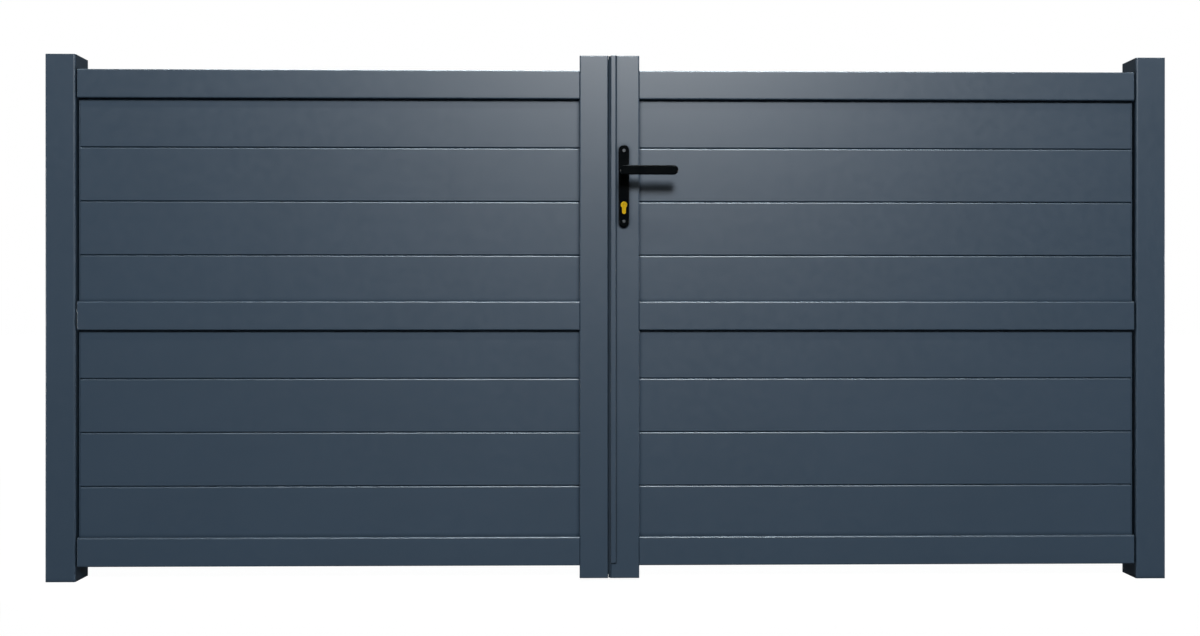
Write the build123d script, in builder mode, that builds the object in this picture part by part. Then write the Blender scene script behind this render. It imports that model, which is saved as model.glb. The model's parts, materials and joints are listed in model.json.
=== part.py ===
from build123d import *
import os

# Double-leaf swing gate, in millimetres.
# X runs along the gate, Y from its front to its back, Z up.
# The origin is the middle of the left post's foot.

# Whole gate
OVERALL_WIDTH = 3000.0
POST_HEIGHT = 1404.0
STILE_FOOT = 6.0
HINGE_GAP = 5.0
MEETING_GAP = 7.0

# Posts: square tube with a sole plate welded into the foot
POST_SIDE = 80.0
POST_WALL = 2.5
POST_CORNER = 4.5
POST_SOLE = 8.0

# Leaf frame: hollow extrusions, grooved for the boards
LEAF_DEPTH = 52.0
PROFILE_WALL = 2.0
PROFILE_CORNER = 3.0
STILE_WIDTH = 76.5
RAIL_HEIGHT = 76.5
RAIL_INSET = 39.5
MIDDLE_RAIL_CENTRE = 707.75
GROOVE_DEPTH = 12.0
LOCK_CHANNEL_WIDTH = 24.0
LOCK_CHANNEL_DEPTH = 4.0
HINGE_STILE_WIDTH = 48.0
HINGE_STILE_LIP = 3.0

# Tongue-and-groove boards
BOARD_THICKNESS = 28.0
BOARD_PITCH = 144.0
FIRST_BOARD_SHOW = 130.0
BOARD_WALL = 1.6
BOARD_CHAMFER = 2.6
BOARD_ROUND = 4.0
TONGUE_WIDTH = 6.0
TONGUE_HEIGHT = 7.0

# Plugs in the open tube ends
CAP_LID = 3.0
CAP_DEPTH = 12.0
CAP_WALL = 2.0

# Hinges: angle brackets with pins on the posts, straps with eyes on the rails
HINGE_RISE = 16.0
PIN_RADIUS = 6.0
PIN_PROUD = 3.0
EYE_RADIUS = 10.0
STRAP_LENGTH = 150.0
STRAP_HEIGHT = 40.0
STRAP_THICKNESS = 5.0
STRAP_CHAMFER = 10.0
BRACKET_THICKNESS = 4.0
BRACKET_HEIGHT = 34.0
BRACKET_WING = 46.0
BRACKET_REACH = 5.0
SHELF_THICKNESS = 8.0

# Handle set on the right leaf
BACKSET = 35.0
LEVER_BELOW_TOP = 313.4
PLATE_BELOW_LEVER = 35.9
PLATE_HEIGHT = 219.5
PLATE_WIDTH = 28.0
PLATE_THICKNESS = 9.0
PLATE_CHAMFER = 1.5
SCREW_INSET = 15.2
SCREW_RADIUS = 2.6
SCREW_HEAD_RADIUS = 4.6
LEVER_REACH = 141.0
LEVER_HEIGHT = 24.5
LEVER_THICKNESS = 11.0
LEVER_CHAMFER = 1.8
GRIP_GAP = 45.0
NECK_RADIUS = 9.0
SPINDLE_SIDE = 8.0
SPINDLE_SOCKET = 22.0

# Profile cylinder, lock and strike
CYLINDER_DROP = 86.6
CYLINDER_RADIUS = 8.5
CYLINDER_LEG_RADIUS = 5.0
CYLINDER_LEG_DROP = 19.5
CYLINDER_PROUD = 2.0
KEYWAY_WIDTH = 2.4
KEYWAY_HEIGHT = 9.0
KEYWAY_DEPTH = 6.0
FACEPLATE_WIDTH = 22.0
FACEPLATE_HEIGHT = 235.0
FACEPLATE_SETBACK = 1.0
CASE_THICKNESS = 15.0
CASE_HEIGHT = 170.0
CASE_DEPTH = 50.0
BOLT_WIDTH = 11.0
BOLT_HEIGHT = 28.0
STRIKE_HEIGHT = 180.0

# Cover strip over the meeting gap
STRIP_WIDTH = 13.3
STRIP_FOOT = 47.0
STRIP_THICKNESS = 3.5
STRIP_ROUND = 1.2
STRIP_STEM = 1.5
STRIP_STEM_WIDTH = 6.0

# Clearances
BOARD_CLEARANCE = 0.3
JOINT_CLEARANCE = 0.4
TONGUE_CLEARANCE = 0.4
CAP_CLEARANCE = 0.2
PIN_CLEARANCE = 0.1
HINGE_SEAT = 0.3
EYE_SETBACK = 0.5
EYE_TO_POST = 5.0
NECK_CLEARANCE = 0.3
NECK_SETBACK = 1.0
SPINDLE_CLEARANCE = 0.1
WAY_CLEARANCE = 3.0
CYLINDER_CLEARANCE = 0.3
LOCK_CLEARANCE = 0.5

# Places that follow from the sizes
POST_INNER = POST_SIDE / 2
POST_BACK = POST_SIDE / 2
GATE_MIDDLE = (OVERALL_WIDTH - POST_SIDE) / 2
LEAF_FRONT = -POST_SIDE / 2
LEAF_BACK = LEAF_FRONT + LEAF_DEPTH
LEAF_MIDDLE = LEAF_FRONT + LEAF_DEPTH / 2
LEAF_END = POST_INNER + HINGE_GAP
LEFT_EDGE = GATE_MIDDLE - MEETING_GAP / 2
RIGHT_EDGE = GATE_MIDDLE + MEETING_GAP / 2
STILE_INNER = LEFT_EDGE - STILE_WIDTH
STILE_HEIGHT = POST_HEIGHT - STILE_FOOT
GROOVE_WIDTH = BOARD_THICKNESS + 2 * BOARD_CLEARANCE
BOARD_FRONT = LEAF_MIDDLE - BOARD_THICKNESS / 2
BOARD_BACK = LEAF_MIDDLE + BOARD_THICKNESS / 2
BOARD_START = LEAF_END + HINGE_STILE_LIP + BOARD_CLEARANCE
BOARD_LENGTH = STILE_INNER + GROOVE_DEPTH - BOARD_CLEARANCE - BOARD_START
BOARD_SEAT = GROOVE_DEPTH - BOARD_CLEARANCE
BOTTOM_RAIL_CENTRE = RAIL_INSET + RAIL_HEIGHT / 2
TOP_RAIL_CENTRE = POST_HEIGHT - RAIL_INSET - RAIL_HEIGHT / 2
PIN_X = POST_INNER + EYE_TO_POST + EYE_RADIUS
PIN_Y = LEAF_BACK + EYE_SETBACK + EYE_RADIUS
BRACKET_FRONT = PIN_Y - BRACKET_REACH
HANDLE_X = RIGHT_EDGE + BACKSET
LEVER_Z = POST_HEIGHT - LEVER_BELOW_TOP
PLATE_Z = LEVER_Z - PLATE_BELOW_LEVER
CYLINDER_Z = LEVER_Z - CYLINDER_DROP
NECK_LENGTH = PLATE_THICKNESS + GRIP_GAP - NECK_SETBACK

# Planes
GATE_MIDDLE_PLANE = Plane.YZ.offset(GATE_MIDDLE)
LEAF_MIDDLE_PLANE = Plane.XZ.offset(-LEAF_MIDDLE)
LEAF_FRONT_PLANE = Plane.XZ.offset(-LEAF_FRONT)


def keep(piece, name):
    """Label a finished piece and write it under its own name."""
    piece.label = name
    export_step(piece, f"parts/{name}.step")


def mirrored(piece):
    """The same piece on the other side of the gate's middle."""
    with BuildPart() as other:
        mirror(piece, about=GATE_MIDDLE_PLANE)
    return other.part


def joined(pieces):
    """Like pieces of one leaf or post, kept as solids of one node."""
    with BuildPart() as group:
        add(pieces)
    return group.part


# Profiles


def post_void():
    with BuildSketch() as void:
        inner_side = POST_SIDE - 2 * POST_WALL
        Rectangle(inner_side, inner_side)
    return void.sketch_local


def stile_section():
    """Meeting stile: board groove on one side, lock channel on the meeting edge."""
    with BuildSketch() as section:
        with Locations((STILE_INNER + STILE_WIDTH / 2, LEAF_MIDDLE)):
            Rectangle(STILE_WIDTH, LEAF_DEPTH)
        with Locations((STILE_INNER, LEAF_MIDDLE)):
            Rectangle(GROOVE_DEPTH, GROOVE_WIDTH, align=(Align.MIN, Align.CENTER), mode=Mode.SUBTRACT)
        with Locations((LEFT_EDGE, LEAF_MIDDLE)):
            Rectangle(
                LOCK_CHANNEL_DEPTH,
                LOCK_CHANNEL_WIDTH,
                align=(Align.MAX, Align.CENTER),
                mode=Mode.SUBTRACT,
            )
    return section.sketch_local


def rail_section(centre, groove_above, groove_below):
    """Rail: a board groove in the upper face, the lower face or both."""
    with BuildSketch() as section:
        with Locations((LEAF_MIDDLE, centre)):
            Rectangle(LEAF_DEPTH, RAIL_HEIGHT)
        if groove_above:
            with Locations((LEAF_MIDDLE, centre + RAIL_HEIGHT / 2)):
                Rectangle(GROOVE_WIDTH, GROOVE_DEPTH, align=(Align.CENTER, Align.MAX), mode=Mode.SUBTRACT)
        if groove_below:
            with Locations((LEAF_MIDDLE, centre - RAIL_HEIGHT / 2)):
                Rectangle(GROOVE_WIDTH, GROOVE_DEPTH, align=(Align.CENTER, Align.MIN), mode=Mode.SUBTRACT)
    return section.sketch_local


def void_of(section):
    """The hollow of an extrusion, one wall inside its section."""
    with BuildSketch() as void:
        add(section)
        offset(amount=-PROFILE_WALL, kind=Kind.INTERSECTION, mode=Mode.REPLACE)
    return void.sketch_local


def extrusion_of(section, depth_axis):
    """Hollow extrusion: the front and back corners of its section are rounded."""
    with BuildSketch() as profile:
        add(section)
        corners = profile.vertices().group_by(depth_axis)
        fillet(corners[0] + corners[-1], PROFILE_CORNER)
        add(void_of(section), mode=Mode.SUBTRACT)
    return profile.sketch_local


def cylinder_profile(clearance):
    """Round head over a narrower round-ended leg."""
    with BuildSketch() as profile:
        with Locations((HANDLE_X, CYLINDER_Z)):
            Circle(CYLINDER_RADIUS + clearance)
            Rectangle(
                2 * (CYLINDER_LEG_RADIUS + clearance),
                CYLINDER_LEG_DROP,
                align=(Align.CENTER, Align.MAX),
            )
        with Locations((HANDLE_X, CYLINDER_Z - CYLINDER_LEG_DROP)):
            Circle(CYLINDER_LEG_RADIUS + clearance)
    return profile.sketch_local


# Posts and tube plugs


def post():
    with BuildPart() as tube:
        with BuildSketch():
            RectangleRounded(POST_SIDE, POST_SIDE, POST_CORNER)
        extrude(amount=POST_HEIGHT)
        with BuildSketch(Plane.XY.offset(POST_SOLE)):
            add(post_void())
        extrude(amount=POST_HEIGHT - POST_SOLE, mode=Mode.SUBTRACT)
    return tube.part


def plug(void, mouth, inward):
    """Moulded plug, flush in a tube's mouth, with a skirt along the walls."""
    with BuildPart() as cap:
        with BuildSketch(mouth):
            add(void)
            offset(amount=-CAP_CLEARANCE, kind=Kind.INTERSECTION, mode=Mode.REPLACE)
        extrude(amount=inward * CAP_DEPTH)
        with BuildSketch(mouth.offset(inward * CAP_LID)):
            add(void)
            offset(amount=-CAP_CLEARANCE - CAP_WALL, kind=Kind.INTERSECTION, mode=Mode.REPLACE)
        extrude(amount=inward * (CAP_DEPTH - CAP_LID), mode=Mode.SUBTRACT)
    return cap.part


# Leaf frame


def meeting_stile():
    with BuildPart() as stile:
        with BuildSketch(Plane.XY.offset(STILE_FOOT)):
            add(extrusion_of(stile_section(), Axis.Y))
        extrude(amount=STILE_HEIGHT)
    return stile.part


def rail(section):
    with BuildPart() as tube:
        with BuildSketch(Plane.YZ.offset(LEAF_END)):
            add(extrusion_of(section, Axis.X))
        extrude(amount=STILE_INNER - LEAF_END)
    return tube.part


def hinge_stile(low, high):
    """Hollow bar behind the board ends, with a lip that closes them."""
    bar_depth = LEAF_BACK - BOARD_BACK - BOARD_CLEARANCE
    with BuildPart() as bar:
        with BuildSketch(Plane.XY.offset(low)):
            with Locations((LEAF_END, LEAF_BACK)):
                Rectangle(HINGE_STILE_WIDTH, bar_depth, align=(Align.MIN, Align.MAX))
            with Locations((LEAF_END, BOARD_FRONT)):
                Rectangle(HINGE_STILE_LIP, LEAF_BACK - BOARD_FRONT, align=(Align.MIN, Align.MIN))
            with Locations((LEAF_END + HINGE_STILE_WIDTH / 2, LEAF_BACK - bar_depth / 2)):
                Rectangle(
                    HINGE_STILE_WIDTH - 2 * PROFILE_WALL,
                    bar_depth - 2 * PROFILE_WALL,
                    mode=Mode.SUBTRACT,
                )
        extrude(amount=high - low)
    return bar.part


# Boards


def board(low, high, tongued, grooved):
    """Hollow board, its upper front edge rounded; the first has no tongue, the last no groove."""
    slot_depth = TONGUE_HEIGHT + TONGUE_CLEARANCE
    chamber_low = low + BOARD_WALL + (slot_depth if grooved else BOARD_CHAMFER)
    chamber_high = high - BOARD_WALL - BOARD_ROUND
    chamber_height = (chamber_high - chamber_low - BOARD_WALL) / 2
    with BuildPart() as plank:
        with BuildSketch(Plane.YZ.offset(BOARD_START)) as section:
            with Locations((LEAF_MIDDLE, low)):
                Rectangle(BOARD_THICKNESS, high - low, align=(Align.CENTER, Align.MIN))
            fillet(section.vertices().group_by(Axis.Y)[-1].sort_by(Axis.X)[0], BOARD_ROUND)
            chamfer(section.vertices().group_by(Axis.X)[-1], BOARD_CHAMFER)
            chamfer(section.vertices().group_by(Axis.Y)[0].sort_by(Axis.X)[0], BOARD_CHAMFER)
            if tongued:
                with Locations((LEAF_MIDDLE, high)):
                    Rectangle(TONGUE_WIDTH, TONGUE_HEIGHT, align=(Align.CENTER, Align.MIN))
            if grooved:
                with Locations((LEAF_MIDDLE, low)):
                    Rectangle(
                        TONGUE_WIDTH + 2 * TONGUE_CLEARANCE,
                        slot_depth,
                        align=(Align.CENTER, Align.MIN),
                        mode=Mode.SUBTRACT,
                    )
            with Locations((LEAF_MIDDLE, (chamber_low + chamber_high) / 2)):
                with GridLocations(0, chamber_height + BOARD_WALL, 1, 2):
                    Rectangle(BOARD_THICKNESS - 2 * BOARD_WALL, chamber_height, mode=Mode.SUBTRACT)
        extrude(amount=BOARD_LENGTH)
    return plank.part


def panel_boards(low, high):
    """Boards of one panel, from the top: whole ones first, the last cut to what is left."""
    whole_steps = max(0, round((high - low - FIRST_BOARD_SHOW) / BOARD_PITCH))
    joints = [high - FIRST_BOARD_SHOW - step * BOARD_PITCH for step in range(whole_steps)]
    tops = [high + BOARD_SEAT] + [joint - JOINT_CLEARANCE / 2 for joint in joints]
    feet = [joint + JOINT_CLEARANCE / 2 for joint in joints] + [low - BOARD_SEAT]
    planks = []
    for number, (top, foot) in enumerate(zip(tops, feet)):
        planks.append(board(foot, top, tongued=number > 0, grooved=number < len(joints)))
    return planks


# Hinges


def hinge_bracket(centre):
    """Angle round the post's rear inner corner, with a shelf and a pin under the eye."""
    shelf_top = centre - STRAP_HEIGHT / 2 - HINGE_SEAT
    with BuildPart() as bracket:
        with BuildSketch(Plane.XY.offset(shelf_top - BRACKET_HEIGHT)):
            with Locations((POST_INNER, BRACKET_FRONT)):
                Rectangle(
                    BRACKET_THICKNESS,
                    POST_BACK + BRACKET_THICKNESS - BRACKET_FRONT,
                    align=(Align.MIN, Align.MIN),
                )
            with Locations((POST_INNER + BRACKET_THICKNESS, POST_BACK)):
                Rectangle(BRACKET_WING, BRACKET_THICKNESS, align=(Align.MAX, Align.MIN))
        extrude(amount=BRACKET_HEIGHT)
        with BuildSketch(Plane.XY.offset(shelf_top - SHELF_THICKNESS)):
            with Locations((PIN_X, PIN_Y)):
                Circle(EYE_RADIUS)
            with Locations((POST_INNER, BRACKET_FRONT)):
                Rectangle(
                    PIN_X - POST_INNER,
                    PIN_Y + EYE_RADIUS - BRACKET_FRONT,
                    align=(Align.MIN, Align.MIN),
                )
        extrude(amount=SHELF_THICKNESS)
        with BuildSketch(Plane.XY.offset(shelf_top)):
            with Locations((PIN_X, PIN_Y)):
                Circle(PIN_RADIUS)
        extrude(amount=STRAP_HEIGHT + PIN_PROUD)
    return bracket.part


def hinge_strap(centre):
    """Flat strap along the back of a rail, with its eye over the pin."""
    with BuildPart() as strap:
        with BuildSketch(Plane.XY.offset(centre - STRAP_HEIGHT / 2)):
            with Locations((PIN_X, LEAF_BACK)):
                Rectangle(STRAP_LENGTH, STRAP_THICKNESS, align=(Align.MIN, Align.MIN))
            with Locations((PIN_X, PIN_Y)):
                Circle(EYE_RADIUS)
                Circle(PIN_RADIUS + PIN_CLEARANCE, mode=Mode.SUBTRACT)
        extrude(amount=STRAP_HEIGHT)
        chamfer(strap.edges().filter_by(Axis.Y).group_by(Axis.X)[-1], STRAP_CHAMFER)
    return strap.part


# Both leaves and their posts

os.makedirs("parts", exist_ok=True)

RAIL_SECTIONS = {
    "top_rail": rail_section(TOP_RAIL_CENTRE, groove_above=False, groove_below=True),
    "middle_rail": rail_section(MIDDLE_RAIL_CENTRE, groove_above=True, groove_below=True),
    "bottom_rail": rail_section(BOTTOM_RAIL_CENTRE, groove_above=True, groove_below=False),
}
PANELS = {
    "upper": (MIDDLE_RAIL_CENTRE + RAIL_HEIGHT / 2, TOP_RAIL_CENTRE - RAIL_HEIGHT / 2),
    "lower": (BOTTOM_RAIL_CENTRE + RAIL_HEIGHT / 2, MIDDLE_RAIL_CENTRE - RAIL_HEIGHT / 2),
}
HINGE_CENTRES = (BOTTOM_RAIL_CENTRE + HINGE_RISE, TOP_RAIL_CENTRE + HINGE_RISE)

left_stile = meeting_stile()
stile_void = void_of(stile_section())

left_pieces = {
    "post": post(),
    "post_cap": plug(post_void(), Plane.XY.offset(POST_HEIGHT), -1),
    "hinge_brackets": joined([hinge_bracket(centre) for centre in HINGE_CENTRES]),
    "hinge_straps": joined([hinge_strap(centre) for centre in HINGE_CENTRES]),
    "hinge_stile": joined([hinge_stile(low, high) for low, high in PANELS.values()]),
    "stile_caps": joined(
        [
            plug(stile_void, Plane.XY.offset(POST_HEIGHT), -1),
            plug(stile_void, Plane.XY.offset(STILE_FOOT), 1),
        ]
    ),
    "rail_caps": joined(
        [plug(void_of(section), Plane.YZ.offset(LEAF_END), 1) for section in RAIL_SECTIONS.values()]
    ),
}
for rail_name, section in RAIL_SECTIONS.items():
    left_pieces[rail_name] = rail(section)
for panel_name, (low, high) in PANELS.items():
    for number, plank in enumerate(panel_boards(low, high), start=1):
        left_pieces[f"{panel_name}_board_{number}"] = plank

for piece_name, piece in left_pieces.items():
    keep(piece, f"left_{piece_name}")
    keep(mirrored(piece), f"right_{piece_name}")
keep(left_stile, "left_meeting_stile")

# Right meeting stile, with the ways through it for lock, spindle and cylinder

with BuildPart() as right_meeting_stile:
    mirror(left_stile, about=GATE_MIDDLE_PLANE)
    with BuildSketch(Plane.YZ.offset(RIGHT_EDGE)):
        with Locations((LEAF_MIDDLE, PLATE_Z)):
            Rectangle(CASE_THICKNESS + 2 * LOCK_CLEARANCE, CASE_HEIGHT + 2 * LOCK_CLEARANCE)
    extrude(amount=LOCK_CHANNEL_DEPTH + PROFILE_WALL, mode=Mode.SUBTRACT)
    with BuildSketch(LEAF_FRONT_PLANE):
        with Locations((HANDLE_X, LEVER_Z)):
            Circle(SPINDLE_SIDE / 2 + WAY_CLEARANCE)
        add(cylinder_profile(LOCK_CLEARANCE))
    extrude(amount=-LEAF_DEPTH, mode=Mode.SUBTRACT)
keep(right_meeting_stile.part, "right_meeting_stile")

# Cover strip on the right meeting stile

with BuildPart() as cover_strip:
    with BuildSketch(Plane.XY.offset(STRIP_FOOT)) as strip_section:
        with Locations((RIGHT_EDGE + STRIP_WIDTH / 2, LEAF_FRONT - STRIP_STEM)):
            Rectangle(STRIP_WIDTH, STRIP_THICKNESS, align=(Align.CENTER, Align.MAX))
        fillet(strip_section.vertices().group_by(Axis.Y)[0], STRIP_ROUND)
        with Locations((RIGHT_EDGE + STRIP_WIDTH / 2, LEAF_FRONT)):
            Rectangle(STRIP_STEM_WIDTH, STRIP_STEM, align=(Align.CENTER, Align.MAX))
    extrude(amount=POST_HEIGHT - STRIP_FOOT)
keep(cover_strip.part, "cover_strip")

# Handle plates, front and back

with BuildPart() as front_handle_plate:
    with BuildSketch(LEAF_FRONT_PLANE):
        with Locations((HANDLE_X, PLATE_Z)):
            SlotOverall(PLATE_HEIGHT, PLATE_WIDTH, rotation=90)
    extrude(amount=PLATE_THICKNESS)
    chamfer(front_handle_plate.faces().sort_by(Axis.Y)[0].edges(), PLATE_CHAMFER)
    with BuildSketch(LEAF_FRONT_PLANE):
        with Locations((HANDLE_X, LEVER_Z)):
            Circle(NECK_RADIUS + NECK_CLEARANCE)
        add(cylinder_profile(CYLINDER_CLEARANCE))
    extrude(amount=PLATE_THICKNESS, mode=Mode.SUBTRACT)
    with Locations(LEAF_FRONT_PLANE.offset(PLATE_THICKNESS)):
        screw_spread = PLATE_HEIGHT - 2 * SCREW_INSET
        with Locations((HANDLE_X, PLATE_Z)):
            with GridLocations(0, screw_spread, 1, 2):
                CounterSinkHole(SCREW_RADIUS, SCREW_HEAD_RADIUS, depth=PLATE_THICKNESS)
keep(front_handle_plate.part, "front_handle_plate")

with BuildPart() as back_handle_plate:
    mirror(front_handle_plate.part, about=LEAF_MIDDLE_PLANE)
keep(back_handle_plate.part, "back_handle_plate")

# Levers: flat round-ended arms on round necks that turn in the plates

with BuildPart() as plain_lever:
    with BuildSketch(LEAF_FRONT_PLANE.offset(NECK_SETBACK + NECK_LENGTH)):
        with Locations((HANDLE_X + (LEVER_REACH - LEVER_HEIGHT / 2) / 2, LEVER_Z)):
            SlotOverall(LEVER_REACH + LEVER_HEIGHT / 2, LEVER_HEIGHT)
    extrude(amount=LEVER_THICKNESS)
    chamfer(plain_lever.faces().filter_by(Axis.Y).edges(), LEVER_CHAMFER)
    with BuildSketch(LEAF_FRONT_PLANE.offset(NECK_SETBACK)):
        with Locations((HANDLE_X, LEVER_Z)):
            Circle(NECK_RADIUS)
    extrude(amount=NECK_LENGTH)

with BuildPart() as front_lever:
    add(plain_lever.part)
    with BuildSketch(LEAF_FRONT_PLANE.offset(NECK_SETBACK)):
        with Locations((HANDLE_X, LEVER_Z)):
            socket_side = SPINDLE_SIDE + 2 * SPINDLE_CLEARANCE
            Rectangle(socket_side, socket_side)
    extrude(amount=SPINDLE_SOCKET, mode=Mode.SUBTRACT)
keep(front_lever.part, "front_lever")

with BuildPart() as back_lever:
    mirror(plain_lever.part, about=LEAF_MIDDLE_PLANE)
    with BuildSketch(LEAF_FRONT_PLANE.offset(NECK_SETBACK + SPINDLE_SOCKET - SPINDLE_CLEARANCE)):
        with Locations((HANDLE_X, LEVER_Z)):
            Rectangle(SPINDLE_SIDE, SPINDLE_SIDE)
    extrude(amount=-(LEAF_DEPTH + 2 * NECK_SETBACK + SPINDLE_SOCKET - SPINDLE_CLEARANCE))
keep(back_lever.part, "back_lever")

# Profile cylinder, through the stile from plate to plate

with BuildPart() as lock_cylinder:
    cylinder_reach = PLATE_THICKNESS + CYLINDER_PROUD
    with BuildSketch(LEAF_FRONT_PLANE.offset(cylinder_reach)):
        add(cylinder_profile(0))
    extrude(amount=-(LEAF_DEPTH + 2 * cylinder_reach))
    with BuildSketch(LEAF_FRONT_PLANE.offset(cylinder_reach)) as keyway:
        with Locations((HANDLE_X, CYLINDER_Z)):
            Rectangle(KEYWAY_WIDTH, KEYWAY_HEIGHT)
    extrude(amount=-KEYWAY_DEPTH, mode=Mode.SUBTRACT)
    with BuildSketch(LEAF_FRONT_PLANE.offset(-LEAF_DEPTH - cylinder_reach)):
        add(keyway.sketch_local)
    extrude(amount=KEYWAY_DEPTH, mode=Mode.SUBTRACT)
keep(lock_cylinder.part, "lock_cylinder")

# Mortice lock in the right stile: faceplate in the channel, case behind it, bolts drawn in

with BuildPart() as mortice_lock:
    with BuildSketch(Plane.YZ.offset(RIGHT_EDGE + FACEPLATE_SETBACK)):
        with Locations((LEAF_MIDDLE, PLATE_Z)):
            Rectangle(FACEPLATE_WIDTH, FACEPLATE_HEIGHT)
    extrude(amount=LOCK_CHANNEL_DEPTH - FACEPLATE_SETBACK)
    with BuildSketch(Plane.YZ.offset(RIGHT_EDGE + LOCK_CHANNEL_DEPTH)):
        with Locations((LEAF_MIDDLE, PLATE_Z)):
            Rectangle(CASE_THICKNESS, CASE_HEIGHT)
    extrude(amount=CASE_DEPTH)
    with BuildSketch(Plane.YZ.offset(RIGHT_EDGE)):
        for bolt_centre in (LEVER_Z, CYLINDER_Z):
            with Locations((LEAF_MIDDLE, bolt_centre)):
                Rectangle(BOLT_WIDTH, BOLT_HEIGHT)
    extrude(amount=FACEPLATE_SETBACK)
    with BuildSketch(LEAF_FRONT_PLANE):
        with Locations((HANDLE_X, LEVER_Z)):
            Circle(SPINDLE_SIDE / 2 + WAY_CLEARANCE)
        add(cylinder_profile(CYLINDER_CLEARANCE))
    extrude(amount=-LEAF_DEPTH, mode=Mode.SUBTRACT)
keep(mortice_lock.part, "mortice_lock")

# Strike plate in the left stile's channel, with a window for each bolt

with BuildPart() as strike_plate:
    with BuildSketch(Plane.YZ.offset(LEFT_EDGE - LOCK_CHANNEL_DEPTH)):
        with Locations((LEAF_MIDDLE, (LEVER_Z + CYLINDER_Z) / 2)):
            Rectangle(FACEPLATE_WIDTH, STRIKE_HEIGHT)
        for bolt_centre in (LEVER_Z, CYLINDER_Z):
            with Locations((LEAF_MIDDLE, bolt_centre)):
                Rectangle(BOLT_WIDTH + 2 * LOCK_CLEARANCE, BOLT_HEIGHT + 2 * LOCK_CLEARANCE, mode=Mode.SUBTRACT)
    extrude(amount=LOCK_CHANNEL_DEPTH - FACEPLATE_SETBACK)
keep(strike_plate.part, "strike_plate")
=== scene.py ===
import json
import math

import bmesh
import bpy
from mathutils import Matrix, Vector


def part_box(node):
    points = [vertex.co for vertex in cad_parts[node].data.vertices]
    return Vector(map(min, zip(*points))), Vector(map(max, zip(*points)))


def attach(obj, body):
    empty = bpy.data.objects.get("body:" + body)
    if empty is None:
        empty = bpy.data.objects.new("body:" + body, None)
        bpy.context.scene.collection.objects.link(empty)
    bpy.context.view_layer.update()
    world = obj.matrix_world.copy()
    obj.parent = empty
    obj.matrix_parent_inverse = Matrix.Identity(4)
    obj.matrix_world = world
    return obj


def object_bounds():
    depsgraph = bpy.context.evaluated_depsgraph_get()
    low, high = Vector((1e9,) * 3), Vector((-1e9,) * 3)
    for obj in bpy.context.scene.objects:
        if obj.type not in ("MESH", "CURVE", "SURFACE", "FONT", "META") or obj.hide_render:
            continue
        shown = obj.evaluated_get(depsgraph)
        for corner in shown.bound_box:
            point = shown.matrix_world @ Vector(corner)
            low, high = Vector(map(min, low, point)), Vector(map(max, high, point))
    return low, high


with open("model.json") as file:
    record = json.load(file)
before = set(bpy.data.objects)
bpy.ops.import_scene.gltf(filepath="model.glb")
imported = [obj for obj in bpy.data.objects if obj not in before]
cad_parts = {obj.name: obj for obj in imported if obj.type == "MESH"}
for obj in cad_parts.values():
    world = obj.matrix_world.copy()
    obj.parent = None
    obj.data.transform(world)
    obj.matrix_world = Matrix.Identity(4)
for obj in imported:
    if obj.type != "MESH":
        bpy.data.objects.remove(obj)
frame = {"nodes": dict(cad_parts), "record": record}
cad_low, cad_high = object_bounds()
scene = bpy.context.scene

# Camera, from the photograph
CAMERA_PLACE = (1.3895, -3.010, 0.702)
CAMERA_TURN = -0.87
LENS_MM = 33.3

# Studio
GATE_CENTRE = (1.46, 0.0, 0.75)
FRONT_LAMP_PLACE = (2.25, -10.26, 6.80)
FRONT_LAMP_SIZE = 3.0
FRONT_LAMP_POWER = 1230.0
EDGE_LAMP_PLACE = (1.75, -2.5, 6.5)
BACK_EDGE_LAMP_PLACE = (1.17, 2.5, 6.5)
EDGE_LAMP_SIZE = (5.0, 0.4)
EDGE_LAMP_POWER = 1050.0
EDGE_LAMP_COLOUR = (0.76, 0.91, 1.0)
BACK_LAMP_PLACE = (1.46, 38.0, 21.5)
BACK_LAMP_SIZE = 4.0
BACK_LAMP_POWER = 11000.0
SIDE_LAMP_PLACES = (("left_strip", (-10.0, -0.014, 0.7)), ("right_strip", (12.92, -0.014, 0.7)))
SIDE_LAMP_SIZE = (0.3, 1.2)
SIDE_LAMP_POWER = 450.0
FILL_LEVEL = 0.06
FLOOR_WHITE = 0.9
FLOOR_GLOW = 1.05
FLOOR_BOUNCE = 0.08
FLOOR_COLOUR = 0.9
FLOOR_SIZE = 40.0
FLOOR_DROP = 0.0005
FLOOR_FADE = (3.0, 9.0)
FLOOR_SWEEP = (2.0, 4.0)
WORLD_SWEEP = (0.992, 1.0)
SENSOR_MM = 36.0

# Materials: noise scales a metre, relief depths in metres
NOISE_RANGE = (0.3, 0.7)
MOTTLE_SCALE = 3.0
GLOSS_SCALE = 45.0
GLOSS_SPREAD = 0.02
GRAIN_SCALE = 1400.0
GRAIN_DEPTH = 0.0002
BRUSH_SCALE = 500.0
BRUSH_GLOSS_SCALE = 300.0
BRUSH_DETAIL = 3.0
BRUSH_GLOSS_SPREAD = 0.06
BRUSH_STRENGTH = 0.08
BRUSH_DEPTH = 0.0001
BEVEL_SAMPLES = 6
OCCLUSION_SAMPLES = 8
# Painted shade in seams and inner corners: the occlusion openness where it stops, the colour factor where it
# is full, and the occlusion reach in metres
OPEN_LEVEL = 0.95
SEAM_SHADE = 0.5
SEAM_REACH = 0.012
UPWARD_NORMALS = (0.88, 0.99)
DUST_ROUGHNESS = 0.75

# Fasteners, in metres
TURNED_SIDES = 24
HANDLE_SCREW_X = 1.4985
HANDLE_SCREW_Z = (0.96015, 1.14925)
HANDLE_SCREW_RADIUS = 0.0043
STRAP_BOLT_X = (0.090, 0.130, 0.170)
BRACKET_BOLT_X = (0.008, 0.028)
HINGE_RISE = 0.016
BRACKET_DROP = 0.0373
STRAP_THICKNESS = 0.005
BRACKET_BOLT_WIDTH = 0.8
BRACKET_BOLT_HEIGHT = 0.7


def link(tree, source, target):
    tree.links.new(source, target)


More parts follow.
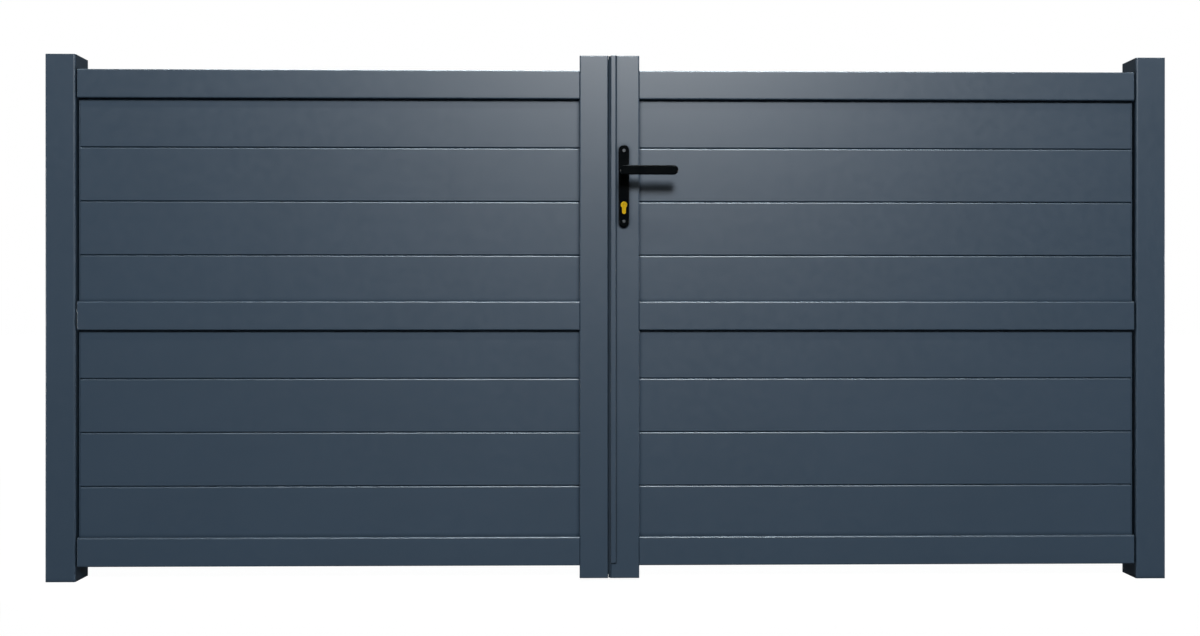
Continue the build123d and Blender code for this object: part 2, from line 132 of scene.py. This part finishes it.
def stepped(tree, value, start, end, low, high):
    """A value that goes from low to high between start and end."""
    spread = tree.nodes.new("ShaderNodeMapRange")
    spread.inputs["From Min"].default_value = start
    spread.inputs["From Max"].default_value = end
    spread.inputs["To Min"].default_value = low
    spread.inputs["To Max"].default_value = high
    link(tree, value, spread.inputs["Value"])
    return spread.outputs["Result"]


def combined(tree, operation, first, second):
    node = tree.nodes.new("ShaderNodeMath")
    node.operation = operation
    link(tree, first, node.inputs[0])
    link(tree, second, node.inputs[1])
    return node.outputs[0]


def new_material(name):
    """A new node material; returns it with its node tree and its principled shader."""
    material = bpy.data.materials.new(name)
    material.use_nodes = True
    shader = material.node_tree.nodes["Principled BSDF"]
    return material, material.node_tree, shader


def noise(tree, scale, detail=2.0, stretch=None):
    """Noise in the part's own metres, stretched along an axis where asked."""
    place = tree.nodes.new("ShaderNodeTexCoord")
    texture = tree.nodes.new("ShaderNodeTexNoise")
    texture.inputs["Scale"].default_value = scale
    texture.inputs["Detail"].default_value = detail
    source = place.outputs["Object"]
    if stretch:
        mapping = tree.nodes.new("ShaderNodeMapping")
        mapping.inputs["Scale"].default_value = stretch
        link(tree, source, mapping.inputs["Vector"])
        source = mapping.outputs["Vector"]
    link(tree, source, texture.inputs["Vector"])
    return texture.outputs["Fac"]


def varied_colour(tree, shader, factor, dark, light):
    ramp = tree.nodes.new("ShaderNodeValToRGB")
    for stop, position, colour in zip(ramp.color_ramp.elements, NOISE_RANGE, (dark, light)):
        stop.position = position
        stop.color = (*colour, 1)
    link(tree, factor, ramp.inputs["Fac"])
    link(tree, ramp.outputs["Color"], shader.inputs["Base Color"])


def varied_roughness(tree, shader, factor, low, high):
    link(tree, stepped(tree, factor, *NOISE_RANGE, low, high), shader.inputs["Roughness"])


def dusty(tree, shader, roughness):
    """Roughens the faces that look straight up, where dust settles."""
    surface = tree.nodes.new("ShaderNodeNewGeometry")
    axes = tree.nodes.new("ShaderNodeSeparateXYZ")
    link(tree, surface.outputs["Normal"], axes.inputs["Vector"])
    dust = stepped(tree, axes.outputs["Z"], *UPWARD_NORMALS, 0.0, roughness)
    coat = shader.inputs["Roughness"].links[0].from_socket
    link(tree, combined(tree, "MAXIMUM", coat, dust), shader.inputs["Roughness"])


def grained(tree, shader, factor, strength, depth, edge_radius=0.0):
    """A fine relief, over edges softened by a small radius where asked."""
    bump = tree.nodes.new("ShaderNodeBump")
    bump.inputs["Strength"].default_value = strength
    bump.inputs["Distance"].default_value = depth
    link(tree, factor, bump.inputs["Height"])
    if edge_radius:
        edge = tree.nodes.new("ShaderNodeBevel")
        edge.samples = BEVEL_SAMPLES
        edge.inputs["Radius"].default_value = edge_radius
        link(tree, edge.outputs["Normal"], bump.inputs["Normal"])
    link(tree, bump.outputs["Normal"], shader.inputs["Normal"])


def painted_seam_shade(tree, shader, specular, reach, closed):
    """Painted shade: darkens the coat's colour and takes away its specular in seams and inner corners, fully
    where the occlusion openness falls to the closed level.
    """
    cover = tree.nodes.new("ShaderNodeAmbientOcclusion")
    cover.samples = OCCLUSION_SAMPLES
    cover.inputs["Distance"].default_value = reach
    # painted shade: no specular highlight where the seam is closed, and a darker colour
    gloss = stepped(tree, cover.outputs["AO"], closed, OPEN_LEVEL, 0.0, specular)
    link(tree, gloss, shader.inputs["Specular IOR Level"])
    shade = stepped(tree, cover.outputs["AO"], closed, OPEN_LEVEL, SEAM_SHADE, 1.0)
    painted_shade_colour = tree.nodes.new("ShaderNodeVectorMath")
    painted_shade_colour.operation = "SCALE"
    link(tree, shader.inputs["Base Color"].links[0].from_socket, painted_shade_colour.inputs[0])
    link(tree, shade, painted_shade_colour.inputs["Scale"])
    link(tree, painted_shade_colour.outputs["Vector"], shader.inputs["Base Color"])


def painted(name, dark, light, roughness, specular, grain, edge_radius, reach=0.0, closed=0.0):
    """A coat of paint or moulded plastic: faint mottling, varied gloss, fine relief, and where a reach is
    given, painted shade in seams and rougher faces looking up.
    """
    material, tree, shader = new_material(name)
    varied_colour(tree, shader, noise(tree, MOTTLE_SCALE), dark, light)
    gloss = noise(tree, GLOSS_SCALE)
    varied_roughness(tree, shader, gloss, roughness - GLOSS_SPREAD, roughness + GLOSS_SPREAD)
    grained(tree, shader, noise(tree, GRAIN_SCALE), grain, GRAIN_DEPTH, edge_radius)
    shader.inputs["Specular IOR Level"].default_value = specular
    # painted shade in seams and inner corners, and rougher upward faces
    if reach:
        painted_seam_shade(tree, shader, specular, reach, closed)
        dusty(tree, shader, DUST_ROUGHNESS)
    return material


def bare_metal(name, dark, light, roughness, stretch):
    """Metal brushed along one axis."""
    material, tree, shader = new_material(name)
    lines = noise(tree, BRUSH_SCALE, BRUSH_DETAIL, stretch)
    varied_colour(tree, shader, lines, dark, light)
    gloss = noise(tree, BRUSH_GLOSS_SCALE, BRUSH_DETAIL, stretch)
    varied_roughness(tree, shader, gloss, roughness - BRUSH_GLOSS_SPREAD, roughness + BRUSH_GLOSS_SPREAD)
    grained(tree, shader, lines, BRUSH_STRENGTH, BRUSH_DEPTH)
    shader.inputs["Metallic"].default_value = 1.0
    return material


# Each: dark and light colour, roughness, then specular level, grain and edge radius,
# or for bare metal the stretch of its brushed lines
COAT = ((0.0345, 0.0602, 0.0937), (0.0365, 0.0633, 0.0986), 0.3845, 0.625, 0.03)
# Both coats carry painted shade in their seams, full below the last number's occlusion openness; the boards
# get more of it
BOARD_COAT = painted("powder_coat_boards", *COAT, 0.0015, SEAM_REACH, 0.35)
MATERIALS = {
    "powder_coat": painted("powder_coat", *COAT, 0.0034, SEAM_REACH, 0.25),
    "plug_plastic": painted(
        "plug_plastic", (0.026, 0.040, 0.056), (0.031, 0.047, 0.065), 0.6, 0.3, 0.15, 0.0
    ),
    "hinge_steel": painted(
        "hinge_steel", (0.026, 0.044, 0.068), (0.031, 0.053, 0.081), 0.40, 0.5, 0.1, 0.0008
    ),
    "lock_steel": bare_metal(
        "lock_steel", (0.48, 0.49, 0.50), (0.62, 0.63, 0.64), 0.34, (1, 1, 0.05)
    ),
    "cylinder_brass": bare_metal(
        "cylinder_brass", (0.318, 0.200, 0.0065), (0.390, 0.250, 0.0095), 0.52, (1, 0.05, 1)
    ),
    "handle_black": painted(
        "handle_black", (0.0008, 0.0016, 0.0023), (0.0013, 0.0023, 0.0031), 0.18, 0.10, 0.03, 0.0008
    ),
}
SCREW_METAL = bare_metal("screw_zinc", (0.045, 0.047, 0.050), (0.070, 0.073, 0.077), 0.46, (1, 1, 1))

for subpart in frame["record"]["subparts"]:
    node = frame["nodes"][subpart["node"]]
    node.data.materials.clear()
    coat = BOARD_COAT if "_board_" in subpart["node"] else MATERIALS[subpart["material_slot"]]
    node.data.materials.append(coat)


def ring_points(radius, height, sides):
    """Points of one ring: a circle, or a hexagon by its half width across flats."""
    points = []
    for step in range(TURNED_SIDES):
        angle = 2 * math.pi * step / TURNED_SIDES
        reach = radius
        if sides:
            wedge = 2 * math.pi / sides
            reach = radius / math.cos(angle % wedge - wedge / 2)
        points.append(Vector((reach * math.cos(angle), reach * math.sin(angle), height)))
    return points


def add_piece(name, shape, body, material):
    """Turns a bmesh into a piece that rides on a body."""
    mesh = bpy.data.meshes.new(name)
    shape.to_mesh(mesh)
    shape.free()
    mesh.materials.append(material)
    piece = bpy.data.objects.new(name, mesh)
    scene.collection.objects.link(piece)
    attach(piece, body)


def turned(name, rings, places, direction, body, material, hollow=False):
    """Copies of one turned shape in one mesh, its axis along a direction, riding on a body."""
    turn = Vector((0, 0, 1)).rotation_difference(Vector(direction)).to_matrix().to_4x4()
    shape = bmesh.new()
    for place in places:
        stand = Matrix.Translation(place) @ turn
        loops = [[shape.verts.new(stand @ p) for p in ring_points(*ring)] for ring in rings]
        pairs = list(zip(loops, loops[1:]))
        if hollow:
            pairs.append((loops[-1], loops[0]))
        else:
            shape.faces.new(reversed(loops[0]))
            shape.faces.new(loops[-1])
        for below, above in pairs:
            for step in range(TURNED_SIDES):
                after = (step + 1) % TURNED_SIDES
                shape.faces.new((below[step], below[after], above[after], above[step]))
    add_piece(name, shape, body, material)


# Screws in the handle plates: countersunk heads with a hexagon socket
HANDLE_SCREW = (
    (0.0023, -0.0060, 0),
    (0.0023, -0.0026, 0),
    (HANDLE_SCREW_RADIUS, -0.0006, 0),
    (HANDLE_SCREW_RADIUS, -0.0003, 0),
    (HANDLE_SCREW_RADIUS - 0.0003, -0.0001, 0),
    (0.0016, -0.0001, 6),
    (0.0015, -0.0018, 6),
)
plate_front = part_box("front_handle_plate")[0].y
plate_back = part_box("back_handle_plate")[1].y
for side, face, outward in (("front", plate_front, (0, -1, 0)), ("back", plate_back, (0, 1, 0))):
    turned(
        f"{side}_plate_screws",
        HANDLE_SCREW,
        [(HANDLE_SCREW_X, face, height) for height in HANDLE_SCREW_Z],
        outward,
        "right_leaf",
        SCREW_METAL,
    )

# Hexagon bolts with washers on the hinge straps and brackets
HINGE_BOLT = (
    (0.0085, 0.0000, 0),
    (0.0085, 0.0012, 0),
    (0.0080, 0.0016, 0),
    (0.0064, 0.0016, 6),
    (0.0064, 0.0062, 6),
    (0.0056, 0.0070, 0),
)
BRACKET_BOLT = tuple(
    (radius * BRACKET_BOLT_WIDTH, height * BRACKET_BOLT_HEIGHT, sides) for radius, height, sides in HINGE_BOLT
)
GATE_MIDDLE = (cad_low.x + cad_high.x) / 2
for side, mirror in (("left", 1), ("right", -1)):
    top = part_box(f"{side}_top_rail")
    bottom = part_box(f"{side}_bottom_rail")
    hinge_middles = [(low.z + high.z) / 2 + HINGE_RISE for low, high in (bottom, top)]
    strap_face = top[1].y + STRAP_THICKNESS
    turned(
        f"{side}_strap_bolts",
        HINGE_BOLT,
        [
            (GATE_MIDDLE + mirror * (x - GATE_MIDDLE), strap_face, middle)
            for middle in hinge_middles
            for x in STRAP_BOLT_X
        ],
        (0, 1, 0),
        f"{side}_leaf",
        MATERIALS["hinge_steel"],
    )
    bracket_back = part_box(f"{side}_hinge_brackets")[1].y
    turned(
        f"{side}_bracket_bolts",
        BRACKET_BOLT,
        [
            (GATE_MIDDLE + mirror * (x - GATE_MIDDLE), bracket_back, middle - BRACKET_DROP)
            for middle in hinge_middles
            for x in BRACKET_BOLT_X
        ],
        (0, 1, 0),
        "posts",
        MATERIALS["hinge_steel"],
    )

# Brush seals that close the meeting gap, along both lands of the right stile's edge
SEAL_FOOT = 0.0062
SEAL_TOP = 1.4038
SEAL_THICKNESS = 0.005
SEAL_CORNER = 0.001
SEAL_DEPTHS_AND_GAPS = ((-0.034, 0.0008), (0.005, 0.0004))
SEAL_MATERIAL = painted("brush_seal", (0.020, 0.031, 0.045), (0.028, 0.042, 0.060), 0.9, 0.1, 0.5, 0.0)
left_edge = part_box("left_meeting_stile")[1].x
right_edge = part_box("right_meeting_stile")[0].x


def upright(name, sections, foot, head, body, material):
    """Upright strips in one mesh, each a section in X and Y carried from foot to head."""
    shape = bmesh.new()
    for section in sections:
        low_ring = [shape.verts.new((x, y, foot)) for x, y in section]
        high_ring = [shape.verts.new((x, y, head)) for x, y in section]
        for step in range(len(section)):
            after = (step + 1) % len(section)
            shape.faces.new((low_ring[step], low_ring[after], high_ring[after], high_ring[step]))
        shape.faces.new(reversed(low_ring))
        shape.faces.new(high_ring)
    bmesh.ops.recalc_face_normals(shape, faces=shape.faces)
    add_piece(name, shape, body, material)


def seal_section(depth, tip_gap):
    """One seal in X and Y, from the right stile to a tip near the left one."""
    tip = left_edge + tip_gap
    half = SEAL_THICKNESS / 2
    return (
        (right_edge, depth - half),
        (tip + SEAL_CORNER, depth - half),
        (tip, depth - half / 2),
        (tip, depth + half / 2),
        (tip + SEAL_CORNER, depth + half),
        (right_edge, depth + half),
    )


upright(
    "meeting_seals",
    [seal_section(depth, tip_gap) for depth, tip_gap in SEAL_DEPTHS_AND_GAPS],
    SEAL_FOOT,
    SEAL_TOP,
    "right_leaf",
    SEAL_MATERIAL,
)

# Plug on the right stile that narrows the gap below the cover strip, in front of the seals
PLUG_GAP = 0.005
PLUG_DEPTH = 0.0026
PLUG_SETBACK = 0.0004
PLUG_CORNER = 0.0008
strip_low, strip_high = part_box("cover_strip")
stile_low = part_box("right_meeting_stile")[0]
stile_front = stile_low.y
plug_front = stile_front + PLUG_SETBACK
plug_edge = left_edge + PLUG_GAP
upright(
    "seal_foot_plug",
    [
        (
            (right_edge, plug_front + PLUG_DEPTH),
            (plug_edge, plug_front + PLUG_DEPTH),
            (plug_edge, plug_front + PLUG_CORNER),
            (plug_edge + PLUG_CORNER, plug_front),
            (right_edge, plug_front),
        )
    ],
    stile_low.z,
    strip_low.z,
    "right_leaf",
    MATERIALS["powder_coat"],
)

# Soft gasket in the seam beside the cover strip, dark in the seal's colour: partly a real gasket, partly
# painted shade standing in for the shaded groove there
GASKET_WIDTH = 0.0032
GASKET_PROUD = 0.0009
GASKET_LAP = 0.0005
GASKET_CORNER = 0.0006
upright(
    "strip_gasket_and_shade",
    [
        (
            (strip_high.x - GASKET_LAP, stile_front),
            (strip_high.x - GASKET_LAP, stile_front - GASKET_PROUD),
            (strip_high.x + GASKET_WIDTH - GASKET_CORNER, stile_front - GASKET_PROUD),
            (strip_high.x + GASKET_WIDTH, stile_front - GASKET_PROUD / 2),
            (strip_high.x + GASKET_WIDTH, stile_front),
        )
    ],
    strip_low.z,
    strip_high.z,
    "right_leaf",
    SEAL_MATERIAL,
)

# Raised rim round the key plug, on both ends of the cylinder
PLUG_RIM = (
    (0.0069, -0.0002, 0),
    (0.0069, 0.0002, 0),
    (0.0066, 0.0004, 0),
    (0.0062, 0.0004, 0),
    (0.0060, 0.0002, 0),
    (0.0060, -0.0002, 0),
)
CYLINDER_HEAD_RADIUS = 0.0085
cylinder_low, cylinder_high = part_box("lock_cylinder")
plug_height = cylinder_high.z - CYLINDER_HEAD_RADIUS
for side, face, outward in (("front", cylinder_low.y, (0, -1, 0)), ("back", cylinder_high.y, (0, 1, 0))):
    turned(
        f"{side}_plug_rim",
        PLUG_RIM,
        [(HANDLE_SCREW_X, face, plug_height)],
        outward,
        "right_leaf",
        MATERIALS["cylinder_brass"],
        hollow=True,
    )

# Cross-recessed screws at both ends of the lock's faceplate and the strike plate
EDGE_SCREW = (
    (0.0020, -0.0022, 0),
    (0.0038, -0.0002, 0),
    (0.0038, 0.0001, 0),
    (0.0034, 0.0003, 0),
    (0.0013, 0.0003, 4),
    (0.0010, -0.0012, 4),
)
EDGE_SCREW_INSET = 0.009
FACEPLATE_SETBACK = 0.001
for node, body, side, outward, setback in (
    ("mortice_lock", "right_leaf", 0, (-1, 0, 0), FACEPLATE_SETBACK),
    ("strike_plate", "left_leaf", 1, (1, 0, 0), 0.0),
):
    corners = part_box(node)
    face = corners[side].x - setback * outward[0]
    turned(
        f"{node}_screws",
        EDGE_SCREW,
        [
            (face, (corners[0].y + corners[1].y) / 2, height)
            for height in (corners[0].z + EDGE_SCREW_INSET, corners[1].z - EDGE_SCREW_INSET)
        ],
        outward,
        body,
        SCREW_METAL,
    )


def plain_floor():
    """A wide pale floor, white to the camera except where the gate shades it."""
    mesh = bpy.data.meshes.new("floor")
    shape = bmesh.new()
    bmesh.ops.create_grid(shape, x_segments=8, y_segments=8, size=FLOOR_SIZE)
    shape.to_mesh(mesh)
    shape.free()
    floor = bpy.data.objects.new("floor", mesh)
    floor.location = (GATE_CENTRE[0], 0, -FLOOR_DROP)
    scene.collection.objects.link(floor)
    material, tree, shader = new_material("floor_white")
    shader.inputs["Roughness"].default_value = 1.0
    shader.inputs["Specular IOR Level"].default_value = 0.0
    path = tree.nodes.new("ShaderNodeLightPath")
    pale = stepped(tree, path.outputs["Is Camera Ray"], 0.0, 1.0, FLOOR_BOUNCE, FLOOR_COLOUR)
    link(tree, pale, shader.inputs["Base Color"])
    white = tree.nodes.new("ShaderNodeEmission")
    white.inputs["Strength"].default_value = FLOOR_GLOW
    place = tree.nodes.new("ShaderNodeTexCoord")
    reach = tree.nodes.new("ShaderNodeVectorMath")
    reach.operation = "LENGTH"
    link(tree, place.outputs["Object"], reach.inputs[0])
    fade = stepped(tree, reach.outputs["Value"], *FLOOR_FADE, FLOOR_WHITE, 1.0)
    share = combined(tree, "MULTIPLY", fade, seen_rays(tree, place.outputs["Object"], *FLOOR_SWEEP))
    mix = tree.nodes.new("ShaderNodeMixShader")
    link(tree, share, mix.inputs["Fac"])
    link(tree, shader.outputs["BSDF"], mix.inputs[1])
    link(tree, white.outputs["Emission"], mix.inputs[2])
    link(tree, mix.outputs["Shader"], tree.nodes["Material Output"].inputs["Surface"])
    mesh.materials.append(material)


def seen_rays(tree, place, start, end):
    """One for camera rays, and for glossy and transmission rays to the white sweep behind the gate."""
    path = tree.nodes.new("ShaderNodeLightPath")
    axes = tree.nodes.new("ShaderNodeSeparateXYZ")
    link(tree, place, axes.inputs["Vector"])
    behind = stepped(tree, axes.outputs["Y"], start, end, 0.0, 1.0)
    bounced = combined(tree, "MAXIMUM", path.outputs["Is Glossy Ray"], path.outputs["Is Transmission Ray"])
    bounced = combined(tree, "MULTIPLY", bounced, behind)
    return combined(tree, "MAXIMUM", path.outputs["Is Camera Ray"], bounced)


def studio_world():
    world = bpy.data.worlds.new("studio")
    scene.world = world
    world.use_nodes = True
    tree = world.node_tree
    background = tree.nodes["Background"]
    background.inputs["Color"].default_value = (1, 1, 1, 1)
    place = tree.nodes.new("ShaderNodeTexCoord")
    seen = seen_rays(tree, place.outputs["Generated"], *WORLD_SWEEP)
    level = stepped(tree, seen, 0.0, 1.0, FILL_LEVEL, 1.0)
    link(tree, level, background.inputs["Strength"])


def area_lamp(name, place, target, size, power):
    """A disc lamp, or a rectangle where the size is a pair, aimed at a target and unseen by the camera."""
    light = bpy.data.lights.new(name, "AREA")
    light.shape = "DISK"
    if isinstance(size, tuple):
        light.shape = "RECTANGLE"
        light.size, light.size_y = size
    else:
        light.size = size
    light.energy = power
    lamp = bpy.data.objects.new(name, light)
    lamp.location = place
    lamp.rotation_euler = (Vector(target) - Vector(place)).to_track_quat("-Z", "Y").to_euler()
    lamp.visible_camera = False
    scene.collection.objects.link(lamp)
    return lamp


plain_floor()
studio_world()
area_lamp("front_softbox", FRONT_LAMP_PLACE, GATE_CENTRE, FRONT_LAMP_SIZE, FRONT_LAMP_POWER)
back_lamp = area_lamp("back_softbox", BACK_LAMP_PLACE, GATE_CENTRE, BACK_LAMP_SIZE, BACK_LAMP_POWER)
back_lamp.visible_glossy = False
for name, place in (("edge_strip", EDGE_LAMP_PLACE), ("back_edge_strip", BACK_EDGE_LAMP_PLACE)):
    strip = area_lamp(name, place, GATE_CENTRE, EDGE_LAMP_SIZE, EDGE_LAMP_POWER)
    strip.data.color = EDGE_LAMP_COLOUR
    strip.visible_diffuse = False
for name, place in SIDE_LAMP_PLACES:
    area_lamp(name, place, (GATE_CENTRE[0], place[1], place[2]), SIDE_LAMP_SIZE, SIDE_LAMP_POWER)

camera_data = bpy.data.cameras.new("camera")
camera_data.lens = LENS_MM
camera_data.sensor_width = SENSOR_MM
camera = bpy.data.objects.new("camera", camera_data)
camera.location = CAMERA_PLACE
camera.rotation_euler = (math.radians(90), 0, math.radians(CAMERA_TURN))
scene.collection.objects.link(camera)
scene.camera = camera
scene.view_settings.view_transform = "Standard"
